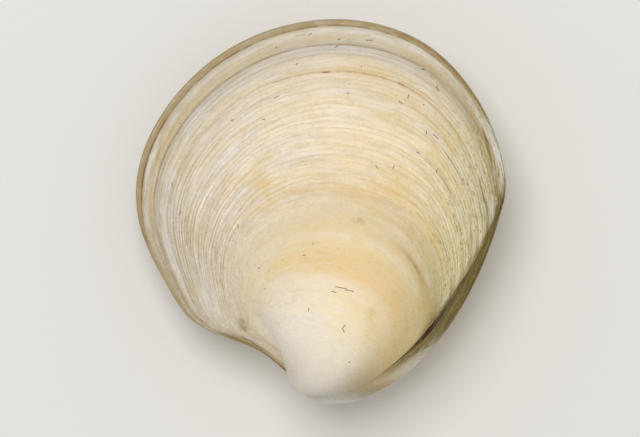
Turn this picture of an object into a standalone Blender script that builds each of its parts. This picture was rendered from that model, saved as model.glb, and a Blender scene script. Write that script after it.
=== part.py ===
"""A closed clam shell: two hollow valves that mirror each other, and the ligament that ties them behind the beaks.

A clam adds shell only at its margin. Every former margin has the same outline, smaller, tipped up about the hinge
line and turned round a little towards the rear. A valve's outer skin is the stack of those former margins, drawn
from today's margin back to the beak. Lengths are in millimetres up here and become metres where meshes are made.

The shell's own axes have their origin at the beaks: X runs from the front edge to the rear edge, Y from the beaks to
the lower margin, and Z out through the right valve. It lies on its left valve, with the right valve up.
"""

import math

import bmesh
import bpy
import numpy as np
from mathutils import Matrix, Vector

MM = 0.001

# Margin of a valve, seen square on, from the beak round by the rear and back. Each point is (X, Y).
HINGE_LINE = [(10.1, 3.4), (12.6, 3.9)]
REAR_SLOPE = [(13.4, 5.3), (17.0, 10.2), (19.9, 16.2)]
REAR_CORNER = [(21.6, 19.7)]
LOWER_MARGIN = [
    (20.7, 25.9), (17.5, 32.0), (12.3, 37.0), (4.9, 39.6), (-3.2, 39.2), (-10.8, 35.9), (-16.5, 30.3), (-19.6, 23.7),
]
FRONT_MARGIN = [(-19.4, 16.5), (-16.1, 9.8), (-12.4, 5.4)]
LUNULE = [(-5.2, 2.4), (-1.55, -0.2)]
BEAK = (0.0, 0.0)

# How the margins before today's one lie. Age is the natural log of how many times smaller a margin is.
HINGE_SLOPE = 16.8  # direction of the hinge line, degrees from X
TIP_PER_AGE = 47.6  # how far a margin tips up for each unit of age, degrees
TIP_EARLY = 9.5  # more tipping, spread over the shell's whole life
TIP_LIMIT = 165.0
TURN_PER_AGE = 23.6  # how far a margin turns towards the rear for each unit of age, degrees
TURN_EARLY = 10.8
OLDEST_AGE = 3.2  # the margin that caps the beak

# Walls and gaps
VALVE_GAP = 0.3  # between the closed valves
CAVITY_CENTRE = (1.0, 29.5)  # the cavity is the outer shape shrunk towards this point
CAVITY_SCALE = 0.86
CAVITY_DEPTH_SCALE = 0.93
CAVITY_DROP = 0.5
LIGAMENT_GAP = 0.3

# Ligament: a spindle sunk between the valves, just inside the line where their edges meet behind the beaks
LIGAMENT_PATH = [(4.8, -0.4), (6.5, 0.1), (8.5, 1.2), (10.2, 2.5), (12.1, 4.3), (13.3, 6.0), (14.6, 7.9)]
LIGAMENT_HALF_WIDTH = 1.1
LIGAMENT_HALF_DEPTH = 0.6
LIGAMENT_END = 0.25  # how much of its thickness is left at its ends

# How it lies: the turns that bring the shell from its own axes to where it balances on its left valve, in degrees
ROLL_TO_REST = -9.0  # about X, first
PITCH_TO_REST = -10.4  # about Y
REST_FLAT_DEPTH = 0.12  # the worn flat that it lies on is cut this deep

# Mesh fineness
SKIN_COLUMNS = 46
SKIN_ROWS = 26
CAVITY_COLUMNS = 36
CAVITY_ROWS = 16
LIGAMENT_RINGS = 16
LIGAMENT_SIDES = 10


def smooth_curve(knots, count):
    """Returns count points on the natural cubic spline through the knots, spaced by the root of their distance."""
    knots = np.array(knots, dtype=float)
    steps = np.sqrt(np.linalg.norm(np.diff(knots, axis=0), axis=1))
    at = np.concatenate(([0.0], np.cumsum(steps)))
    inner = len(knots) - 2
    matrix = np.zeros((inner + 2, inner + 2))
    right = np.zeros_like(knots)
    matrix[0, 0] = matrix[-1, -1] = 1.0
    for i in range(1, inner + 1):
        matrix[i, i - 1 : i + 2] = steps[i - 1], 2.0 * (steps[i - 1] + steps[i]), steps[i]
        slope_after = (knots[i + 1] - knots[i]) / steps[i]
        slope_before = (knots[i] - knots[i - 1]) / steps[i - 1]
        right[i] = 6.0 * (slope_after - slope_before)
    bend = np.linalg.solve(matrix, right)
    wanted = np.linspace(0.0, at[-1], count)
    span = np.clip(np.searchsorted(at, wanted, side="right") - 1, 0, len(steps) - 1)
    step = steps[span][:, None]
    before = (wanted - at[span])[:, None]
    after = step - before
    cubic = (bend[span] * after**3 + bend[span + 1] * before**3) / (6.0 * step)
    start = (knots[span] / step - bend[span] * step / 6.0) * after
    end = (knots[span + 1] / step - bend[span + 1] * step / 6.0) * before
    return cubic + start + end


def margin_outline(count):
    """Returns the margin as count points that start and end at the beak."""
    knots = [BEAK] + HINGE_LINE + REAR_SLOPE + REAR_CORNER + LOWER_MARGIN + FRONT_MARGIN + LUNULE + [BEAK]
    return smooth_curve(knots, count)


def former_margin(outline, age):
    """Returns the margin of this age as points in space: smaller, tipped up, and turned towards the rear."""
    size = math.exp(-age)
    tip = math.radians(min(TIP_PER_AGE * age + TIP_EARLY * (1.0 - size), TIP_LIMIT))
    turn = math.radians(TURN_PER_AGE * age + TURN_EARLY * (1.0 - size))
    slope = math.radians(HINGE_SLOPE)
    along = outline[:, 0] * math.cos(slope) + outline[:, 1] * math.sin(slope)
    across = np.maximum(outline[:, 1] * math.cos(slope) - outline[:, 0] * math.sin(slope), 0.0)
    level = across * math.cos(tip)
    height = across * math.sin(tip)
    heading = slope - turn
    x = along * math.cos(heading) - level * math.sin(heading)
    y = along * math.sin(heading) + level * math.cos(heading)
    return np.stack([x * size, y * size, height * size + VALVE_GAP / 2.0], axis=1)


def half_shell(columns, rows):
    """Returns a bmesh of one solid valve, not yet hollow: its former margins, skinned, with the beak as one vertex."""
    outline = margin_outline(columns + 1)
    mesh = bmesh.new()
    beak = mesh.verts.new((BEAK[0] * MM, BEAK[1] * MM, VALVE_GAP / 2.0 * MM))
    lines = []
    for row in range(rows + 1):
        points = former_margin(outline, OLDEST_AGE * row / rows)[1:-1]
        line = [mesh.verts.new(point * MM) for point in points]
        lines.append([beak] + line + [beak])
    for younger, older in zip(lines, lines[1:]):
        for i in range(columns):
            corners = [younger[i], younger[i + 1], older[i + 1], older[i]]
            mesh.faces.new([v for n, v in enumerate(corners) if v is not corners[n - 1]])
    mesh.faces.new(lines[0][:-1])
    mesh.faces.new(lines[-1][:-1])
    bmesh.ops.triangulate(mesh, faces=mesh.faces[:])
    bmesh.ops.recalc_face_normals(mesh, faces=mesh.faces[:])
    return mesh


def spindle(grow):
    """Returns a bmesh of the ligament, every way thicker by grow, as rings along its path with closed ends."""
    path = smooth_curve(LIGAMENT_PATH, LIGAMENT_RINGS)
    if grow:
        path[0] -= grow * unit(path[1] - path[0])
        path[-1] += grow * unit(path[-1] - path[-2])
    mesh = bmesh.new()
    rings = []
    for i, middle in enumerate(path):
        part = 2.0 * i / (LIGAMENT_RINGS - 1) - 1.0
        fullness = LIGAMENT_END + (1.0 - LIGAMENT_END) * math.sqrt(max(0.0, 1.0 - part * part))
        heading = unit(path[min(i + 1, LIGAMENT_RINGS - 1)] - path[max(i - 1, 0)])
        side = np.array([-heading[1], heading[0]])
        ring = []
        for k in range(LIGAMENT_SIDES):
            angle = 2.0 * math.pi * k / LIGAMENT_SIDES
            sideways = (LIGAMENT_HALF_DEPTH * fullness + grow) * math.cos(angle)
            height = (LIGAMENT_HALF_WIDTH * fullness + grow) * math.sin(angle)
            x, y = middle + side * sideways
            ring.append(mesh.verts.new((x * MM, y * MM, height * MM)))
        rings.append(ring)
    for ring, next_ring in zip(rings, rings[1:]):
        for k in range(LIGAMENT_SIDES):
            j = (k + 1) % LIGAMENT_SIDES
            mesh.faces.new((ring[k], ring[j], next_ring[j], next_ring[k]))
    mesh.faces.new(rings[0])
    mesh.faces.new(rings[-1])
    bmesh.ops.recalc_face_normals(mesh, faces=mesh.faces[:])
    return mesh


def unit(vector):
    return vector / np.linalg.norm(vector)


def shell_material(name, colour, roughness):
    material = bpy.data.materials.new(name)
    material.use_nodes = True
    shader = material.node_tree.nodes["Principled BSDF"]
    shader.inputs["Base Color"].default_value = (*colour, 1.0)
    shader.inputs["Roughness"].default_value = roughness
    shader.inputs["Metallic"].default_value = 0.0
    material.diffuse_color = (*colour, 1.0)
    return material


def add_object(name, mesh, material, parent):
    data = bpy.data.meshes.new(name)
    mesh.to_mesh(data)
    mesh.free()
    data.materials.append(material)
    thing = bpy.data.objects.new(name, data)
    thing.parent = parent
    bpy.context.scene.collection.objects.link(thing)
    return thing


def add_cutter(name, mesh, parent):
    cutter = add_object(name, mesh, bpy.data.materials["cutter"], parent)
    cutter.hide_render = True
    cutter.display_type = "WIRE"
    return cutter


def cut(thing, cutter):
    modifier = thing.modifiers.new(cutter.name, "BOOLEAN")
    modifier.operation = "DIFFERENCE"
    modifier.solver = "EXACT"
    modifier.object = cutter


def cavity(side):
    """Returns a bmesh of the room inside one valve: the outer shape shrunk, and lowered so that it cuts the opening."""
    mesh = half_shell(CAVITY_COLUMNS, CAVITY_ROWS)
    x, y = CAVITY_CENTRE
    shrink = Matrix.Translation((x * MM, y * MM, -CAVITY_DROP * MM))
    shrink @= Matrix.Diagonal((CAVITY_SCALE, CAVITY_SCALE, CAVITY_DEPTH_SCALE, 1.0))
    shrink @= Matrix.Translation((-x * MM, -y * MM, 0.0))
    bmesh.ops.transform(mesh, matrix=shrink, verts=mesh.verts[:])
    return mirrored(mesh, side)


def mirrored(mesh, side):
    """Turns a right valve's mesh into a left valve's where side is -1."""
    if side < 0:
        bmesh.ops.transform(mesh, matrix=Matrix.Diagonal((1.0, 1.0, -1.0, 1.0)), verts=mesh.verts[:])
        bmesh.ops.reverse_faces(mesh, faces=mesh.faces[:])
    return mesh


def wear_flat(mesh, down):
    """Cuts a small flat where the mesh reaches furthest down, square to that direction."""
    reach = max(vert.co.dot(down) for vert in mesh.verts) - REST_FLAT_DEPTH * MM
    everything = mesh.verts[:] + mesh.edges[:] + mesh.faces[:]
    cut_through = bmesh.ops.bisect_plane(
        mesh, geom=everything, dist=1e-7, plane_co=down * reach, plane_no=down, clear_outer=True
    )
    rim = [part for part in cut_through["geom_cut"] if isinstance(part, bmesh.types.BMEdge)]
    bmesh.ops.edgeloop_fill(mesh, edges=rim)
    bmesh.ops.recalc_face_normals(mesh, faces=mesh.faces[:])


def build_valve(name, side, material, parent):
    skin = mirrored(half_shell(SKIN_COLUMNS, SKIN_ROWS), side)
    if side < 0:
        wear_flat(skin, parent.rotation_euler.to_matrix().transposed() @ Vector((0.0, 0.0, -1.0)))
    valve = add_object(name, skin, material, parent)
    cut(valve, add_cutter(name + "_cavity", cavity(side), parent))
    cut(valve, add_cutter(name + "_groove", spindle(LIGAMENT_GAP), parent))
    return valve


def lay_on_floor(shell):
    """Moves the shell so that the world's origin is on the floor, under the middle of the shell's box."""
    bpy.context.view_layer.update()
    graph = bpy.context.evaluated_depsgraph_get()
    corners = []
    for thing in shell.children:
        if not thing.hide_render:
            solid = thing.evaluated_get(graph)
            corners += [solid.matrix_world @ vert.co for vert in solid.data.vertices]
    low = Vector([min(corner[axis] for corner in corners) for axis in range(3)])
    high = Vector([max(corner[axis] for corner in corners) for axis in range(3)])
    shell.location = (-(low.x + high.x) / 2.0, -(low.y + high.y) / 2.0, -low.z)


def main():
    for thing in list(bpy.data.objects):
        bpy.data.objects.remove(thing, do_unlink=True)
    shell = bpy.data.objects.new("shell_at_rest", None)
    bpy.context.scene.collection.objects.link(shell)
    shell.rotation_euler = (math.radians(ROLL_TO_REST), math.radians(PITCH_TO_REST), 0.0)
    shell_material("cutter", (0.5, 0.5, 0.5), 0.5)
    build_valve("right_valve", 1, shell_material("right_shell", (0.80, 0.70, 0.52), 0.45), shell)
    build_valve("left_valve", -1, shell_material("left_shell", (0.78, 0.69, 0.53), 0.45), shell)
    add_object("ligament", spindle(0.0), shell_material("ligament", (0.10, 0.035, 0.018), 0.5), shell)
    lay_on_floor(shell)


main()
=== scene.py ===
"""A closed clam shell with ridged valves, and the ligament that ties them behind the beaks.

A clam adds shell only at its margin, so a valve is the stack of all its former margins. Geometry Nodes grow
each valve from today's margin back to the beak by that rule, and carve the ridges, halts and furrows along
the growth lines. The shell's own axes have their origin at the beaks: X runs to the rear edge, Y to the lower
margin and Z out through the right valve, which is the upper one as the shell lies.

Age is counted so that the shell was smaller by a factor e for each unit of it. Place is how far round a
margin a point lies, from 0 at the beak by the hinge line, the rear, the lower edge and the front to 1.
"""

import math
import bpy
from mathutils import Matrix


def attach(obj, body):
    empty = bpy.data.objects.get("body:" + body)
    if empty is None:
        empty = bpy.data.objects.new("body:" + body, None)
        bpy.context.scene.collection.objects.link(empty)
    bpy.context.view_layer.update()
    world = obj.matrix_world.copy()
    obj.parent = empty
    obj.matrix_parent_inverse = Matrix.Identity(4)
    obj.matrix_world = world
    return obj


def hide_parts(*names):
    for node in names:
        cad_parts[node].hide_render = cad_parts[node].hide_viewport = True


bl_info = {
    "name": "Clam Shell",
    "version": (1, 0, 0),
    "blender": (4, 5, 0),
    "location": "View3D > Sidebar > Clam Shell",
    "description": "Grows a ridged clam shell with its ligament, and lights it on a plain floor",
    "category": "Add Mesh",
}

from functools import partial

import bmesh
import bpy
import numpy as np
from bpy.props import FloatProperty, FloatVectorProperty, IntProperty, PointerProperty
from mathutils import Matrix, Vector

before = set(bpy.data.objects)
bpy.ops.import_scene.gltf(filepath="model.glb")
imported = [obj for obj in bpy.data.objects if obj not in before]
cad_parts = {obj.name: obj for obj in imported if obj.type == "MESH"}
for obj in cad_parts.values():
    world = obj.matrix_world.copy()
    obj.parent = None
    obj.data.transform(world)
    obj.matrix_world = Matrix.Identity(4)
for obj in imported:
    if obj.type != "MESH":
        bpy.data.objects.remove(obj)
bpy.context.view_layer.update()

MM = 0.001

# Points of a rolled-up skin that are closer than this are one, and so are points along a cut, in metres
SEAM = 1e-7
CUT_SEAM = 5e-7

# Kinds of node, some of them with a setting
MATH = "ShaderNodeMath"
PLUS = MATH, {"operation": "ADD"}
MINUS = MATH, {"operation": "SUBTRACT"}
TIMES = MATH, {"operation": "MULTIPLY"}
OVER = MATH, {"operation": "DIVIDE"}
TIMES_PLUS = MATH, {"operation": "MULTIPLY_ADD"}
VECTORS = "ShaderNodeVectorMath"
XYZ = "ShaderNodeCombineXYZ"
ROTATE = "ShaderNodeVectorRotate"
RANGE = "ShaderNodeMapRange"
CURVE = "ShaderNodeFloatCurve"
RAMP = "ShaderNodeValToRGB"
MIX = "ShaderNodeMix"
MIXED = "ShaderNodeMix", {"data_type": "RGBA"}
NOISE = "ShaderNodeTexNoise"
ATTRIBUTE = "ShaderNodeAttribute"
KEEP = "GeometryNodeStoreNamedAttribute"
RECALL = "GeometryNodeInputNamedAttribute"

# Settings of a node that keeps a number at each point
ON_POINTS = {"data_type": "FLOAT", "domain": "POINT"}

# Margin of a valve seen square on, in millimetres, from the beak round by the rear and back
BEAK = (0.0, 0.0)
HINGE_LINE = [(10.1, 3.4), (12.6, 3.9)]
REAR_SLOPE = [(13.4, 5.3), (17.0, 10.2), (19.9, 16.2)]
REAR_CORNER = [(21.6, 19.7)]
LOWER_MARGIN = [
    (20.7, 25.9), (17.5, 32.0), (12.3, 37.0), (4.9, 39.6), (-3.2, 39.2), (-10.8, 35.9), (-16.5, 30.3),
    (-19.6, 23.7),
]
FRONT_MARGIN = [(-19.4, 16.5), (-16.1, 9.8), (-12.4, 5.4)]
LUNULE = [(-5.2, 2.4), (-1.55, -0.2)]

# Ligament: a spindle between the valves, just inside the line where their edges meet behind the beaks
LIGAMENT_PATH = [(4.8, -0.4), (6.5, 0.1), (8.5, 1.2), (10.2, 2.5), (12.1, 4.3), (13.3, 6.0), (14.6, 7.9)]
LIGAMENT = {
    "Rings": 60, "Sides": 40, "Half width": 1.1 * MM, "Half depth": 0.6 * MM, "End": 0.25, "Grow": 0.0,
    "Fibre depth": 0.12 * MM,
}

# How far its tips stand out of its last rings, as a share of its half depth; and its strands, as waves across
# its width, across its depth and along it, and how many times finer than that they are
LIGAMENT_TIP = 0.12
STRAND_WAVES = (3.0, 7.0, 1.0)
STRAND_SCALE = 1.4

# The part of its path where the valves gape a little and it shows, and the slot that is cut for it there
LIGAMENT_SHOWS = [(11.6, 3.7), (12.4, 4.7), (13.3, 6.0), (14.6, 7.9)]
SLOT = LIGAMENT | {"Rings": 24, "Sides": 20, "Grow": 0.14 * MM, "Fibre depth": 0.0}

# The skin of a valve: steps of age, the point that closes its flat side, and its part of the flat map
SKIN = {
    "Row step": 0.0017, "Centre": (1.0 * MM, 20.0 * MM, 0.0), "Shrink centre": (0.0, 0.0, 0.0),
    "Shrink": (1.0, 1.0, 1.0), "Drop": 0.0, "Map low": 0.0, "Map high": 0.82,
}

# The share of its rows, at the beak, where the steps get longer, and how much older that makes the last one
SPREAD_SHARE = 0.2
SPREAD_AGE = 3.6

# The room inside is a coarser skin without ridges, shrunk towards a point and lowered to leave a wall
ROOM = {
    "Columns": 72, "Rows": 40, "Row step": 0.08, "Spread row": 40.0, "Spread": 0.0, "Ridge depth": 0.0,
    "Swell depth": 0.0, "Rear roughness": 0.0, "Inset": 0.0, "Shrink centre": (1.0 * MM, 29.5 * MM, 0.0),
    "Shrink": (0.86, 0.86, 0.93), "Drop": 0.5 * MM, "Map low": 0.84, "Map high": 0.97,
}

# Where the right valve's patterns are taken from. The left valve's lie as far on the other side.
SEED = 3.0

# Faces of a valve that meet more sharply than this keep a hard edge
SHARP_ANGLE = math.radians(60.0)

# Where growth stopped for a while: age, width in age, depth in millimetres
HALTS = [
    (0.024, 0.003, 0.05), (0.0815, 0.0045, 0.08), (0.1640, 0.004, 0.05), (0.5555, 0.005, 0.05),
    (0.668, 0.005, 0.04),
]

# Ridges: where they are counted from, where their pitch changes, and how they stray from an even count,
# as waves per unit of place and of age and how many ridges the stray is worth
FIRST_RIDGE_AGE = 0.0815
LATE_RIDGES_END = 0.24
RIDGE_STRAYS = [((9.0, 5.0, 1.0), 2.2), ((4.0, 36.0, 1.0), 1.5)]

# How sharp the grooves between ridges are, how their depth varies as waves per unit of place and per ridge,
# and from which values of that pattern to which it goes, and between which shares of the depth
GROOVE_POWER = 4.0
GROOVE_WAVES = (16.0, 1.37, 1.0)
GROOVE_SPREAD = (0.35, 0.65, 0.45, 1.3)

# How deep the ridges are, by half the age and by place
RIDGES_BY_HALF_AGE = [
    (0.0, 0.10), (0.012, 0.30), (0.035, 0.40), (0.045, 0.30), (0.055, 0.45), (0.07, 0.75), (0.10, 0.95),
    (0.20, 1.0), (0.27, 0.85), (0.285, 0.40), (0.33, 0.30), (0.37, 0.16), (0.45, 0.06), (1.0, 0.0),
]
RIDGES_BY_PLACE = [
    (0.0, 0.3), (0.2, 0.5), (0.28, 0.7), (0.34, 0.7), (0.45, 0.62), (0.66, 0.66), (0.78, 1.0), (0.88, 0.8),
    (1.0, 0.3),
]

# By place: what counts as the front flank, where the short strokes are thick, and where the skin is crumbly
FRONT_BY_PLACE = [(0.0, 0.0), (0.48, 0.0), (0.57, 0.5), (0.64, 0.72), (0.80, 1.0), (1.0, 1.0)]
STROKES_BY_PLACE = [
    (0.0, 0.0), (0.27, 0.0), (0.295, 1.0), (0.33, 0.85), (0.40, 0.4), (0.48, 0.12), (1.0, 0.12),
]
CRUMBS_BY_PLACE = [
    (0.0, 0.0), (0.22, 0.1), (0.28, 1.0), (0.33, 0.8), (0.42, 0.15), (0.7, 0.10), (0.8, 0.35), (0.9, 0.25),
    (1.0, 0.0),
]

# Broad swells and crumbs, as waves per unit of place and of age; and the ages between which crumbs wear off,
# with the shares of them that are there before and after
SWELL_WAVES = (2.0, 16.0, 1.0)
CRUMB_WAVES = (90.0, 110.0, 1.0)
CRUMBS_BY_AGE = (0.5, 0.8, 1.0, 0.1)

# The front flank adds less shell than the rule has it: where that starts and is full, and how much at most
SLOW_FRONT = (0.686, 0.872)
SLOW_SHARE = 0.46
SLOW_AGE = 0.17

# The lip at the margin: the age at which it ends, and how much it thins towards the margin
LIP = (0.008, 0.10 * MM)

# How far from the hinge line the relief is full, and how far from the middle place it fades at the beak
CALM_HINGE = 1.2 * MM
CALM_BEAK = (0.5, 0.48)

# Ground colours of the shell by half its age, from the margin to the beak
MIDDLE_GROUND = [
    (0.0, "#A6A08A"), (0.008, "#C9BDA2"), (0.020, "#D2C8B2"), (0.034, "#CEC4B0"), (0.045, "#CDC5B9"),
    (0.064, "#E0D5BF"), (0.10, "#E5D6B8"), (0.13, "#EBDCBE"), (0.175, "#EFE0C0"), (0.23, "#EAD9B6"),
    (0.268, "#E6D3AC"), (0.280, "#E0CCA8"), (0.33, "#DDCAA2"), (0.38, "#E4CD9C"), (0.45, "#EACF9E"),
    (0.478, "#F0DDB8"), (0.56, "#F5E6C4"), (0.66, "#F3EAD3"), (0.78, "#EFE8D6"), (0.95, "#E6E0D6"),
    (1.0, "#E2DCD2"),
]
REAR_GROUND = [
    (0.0, "#8C8866"), (0.014, "#BDB594"), (0.035, "#AA9C6C"), (0.065, "#CFC6A2"), (0.13, "#DCD2AC"),
    (0.21, "#E1D5AC"), (0.30, "#D0C494"), (0.33, "#CAB680"), (0.39, "#D9C694"), (0.52, "#DBC28C"),
    (0.70, "#C6B794"), (0.95, "#D0CABB"),
]
FRONT_GROUND = [
    (0.0, "#A28C68"), (0.024, "#C0B49A"), (0.050, "#C0B69E"), (0.066, "#D0C8B7"), (0.13, "#D6CDB9"),
    (0.23, "#E2D8C6"), (0.32, "#E4D7BE"), (0.42, "#EBDCBC"), (0.55, "#EEE5D3"), (0.80, "#E8E1D1"),
]

# Places between which the rear flank's colour takes over; and ages between which the ridges' colour fades,
# with the shares of it that are there before and after
REAR_FLANK = (0.47, 0.31)
RIDGED_BY_AGE = (0.53, 0.68, 1.0, 0.25)

# Pattern of tone: what it follows, its waves per unit, its detail, and how much it lightens and darkens.
# "skin" is place and age, "ridge" is place and ridge number, "object" is metres.
TONES = [
    ("skin", (9.0, 30.0, 1.0), 3.0, 0.50),
    ("skin", (16.0, 85.0, 1.0), 2.0, 0.32),
    ("ridge", (22.0, 1.05, 1.0), 3.0, 1.00),
    ("skin", (34.0, 230.0, 1.0), 3.0, 0.85),
    ("object", (1200.0, 1200.0, 1200.0), 3.0, 0.44),
    ("object", (3600.0, 3600.0, 3600.0), 3.0, 0.60),
]

# How strong that pattern is, by place: calm in the middle, strong on both flanks
TONE_BY_PLACE = [
    (0.0, 0.5), (0.27, 0.65), (0.36, 0.60), (0.42, 0.54), (0.50, 0.40), (0.58, 0.48), (0.66, 0.68),
    (0.74, 0.82), (0.80, 0.94), (0.90, 1.0), (1.0, 0.8),
]

# What tone does to red, green and blue: darker shell is yellower, and the front flank's is less so by this
TONE_TINT = (0.86, 1.02, 1.90)
FRONT_TINT = (0.06, -0.02, -0.45)

# How much lighter the marks called "pale" make the shell, one of them a painted highlight on the umbo
PALE_TONE = 0.14

# Clouds that are drawn out along the growth lines
CLOUD_WAVES = (11.0, 22.0, 1.0)
CLOUDS = [(0.35, "#FFF6E4"), (0.5, "#FFFBF4"), (0.65, "#FAF9FC")]

# Brown skin on the escutcheon behind the beaks and on the lunule before them: places where it starts and is
# full, and how much it covers there; ages between which it is worn off and how much is left; waves; colours
HINGE_SKINS = [
    (
        (0.290, 0.274, 0.0, 0.95), (0.64, 0.73, 1.0, 0.15), (110.0, 5.0, 1.0),
        [(0.38, "#40300A"), (0.45, "#7C6828"), (0.50, "#B4A064"), (0.56, "#746C20"), (0.62, "#C8B87E")],
    ),
    (
        (0.880, 0.905, 0.0, 0.88), (0.10, 0.36, 1.0, 0.15), (10.0, 60.0, 1.0),
        [(0.35, "#7C5F36"), (0.5, "#9C8250"), (0.6, "#B4A070"), (0.7, "#7C7642")],
    ),
]

# Pigments in the order in which they lie on each other: colour, what it is, waves per unit of place and of
# age in what breaks it up, and how much is left of it where it is thinnest. Then the values of that pattern
# between which it thins, and how much there is where it is thickest. Silt, which is partly painted shade in
# the grooves, lies under all of them. Some of the tan, grey, umber and dark bark marks are painted shade
# rather than stain, as noted at them.
PIGMENTS = {
    "chalk": ("#EFEBE2", "White, worn shell", (40.0, 60.0, 1.0), 0.15),
    "ochre": ("#E0BE76", "Yellow stain", (34.0, 50.0, 1.0), 0.3),
    "tan": ("#A88E60", "Brown skin left at the margin and at halts", (60.0, 40.0, 1.0), 0.5),
    "grey": ("#A08C76", "Grey-brown line where growth stopped", (50.0, 30.0, 1.0), 0.5),
    "rust": ("#AC7838", "Orange-brown stain", (70.0, 30.0, 1.0), 0.2),
    "umber": ("#6C5228", "Dark brown stain", (90.0, 60.0, 1.0), 0.2),
    "bark": ("#421A04", "Dark skin beside the ligament", (110.0, 8.0, 1.0), 0.6),
    "olive": ("#857C2C", "Film of green growth", (70.0, 60.0, 1.0), 0.1),
}
PIGMENT_SPREAD = (0.38, 0.56)
PIGMENT_MOST = 1.1
# Silt between the ridges, which also stands in for the shade that falls in the grooves: partly painted shade
SILT_AND_SHADE = ("#BE9F6C", "Silt between the ridges")

# Where olive growth takes the place of silt and painted shade at the rear, how grey that is at the front, and
# how much of the grooves it covers where there is no olive growth and how much more where there is
FILM_WAVES = (60.0, 40.0, 1.0)
FILM_SPREAD = (0.42, 0.62, 0.0, 1.0)
FRONT_GREY = 0.6
SILT_AND_SHADE_COVER = 0.95
FILM_COVER = 0.55

# Specular level of shell, horn and hair, which are duller than a polished surface
GLOSS = 0.3

# The shell's roughness by age, and what its grain adds; grains per metre; waves of its fine growth lines, how
# high they stand beside the grain, and how high that stands and how strongly it shows
ROUGHNESS_BY_AGE = (0.54, 0.62, 0.58, 0.42)
GRAIN_ROUGHNESS = 0.12
GRAINS_PER_METRE = 4500.0
LINE_WAVES = (12.0, 420.0, 1.0)
LINE_SHARE = 0.8
GRAIN_HEIGHT = 0.035 * MM
GRAIN_BUMP = 0.4

# Streaked materials: values of the streaks where the dark and the light colour are full, how much rougher the
# light ones are, and how high they stand and how strongly that shows
STREAK_ENDS = (0.35, 0.65)
STREAK_ROUGHNESS = 0.2
STREAK_HEIGHT = 0.03 * MM
STREAK_BUMP = 0.3

# Short strokes along the growth lines: pigment, waves, where the pattern starts and is full, and strength
STROKES = [
    ("olive", (100.0, 80.0, 1.0), 0.58, 0.65, 0.65),
    ("chalk", (50.0, 55.0, 1.0), 0.56, 0.64, 0.28),
    ("umber", (140.0, 105.0, 1.0), 0.62, 0.68, 0.75),
]

# Brown specks: cells per metre, the share of cells that have none, size in cells, strength
SPECKS = [(620.0, 0.90, 0.13, 0.75), (1500.0, 0.93, 0.22, 0.5)]
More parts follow.
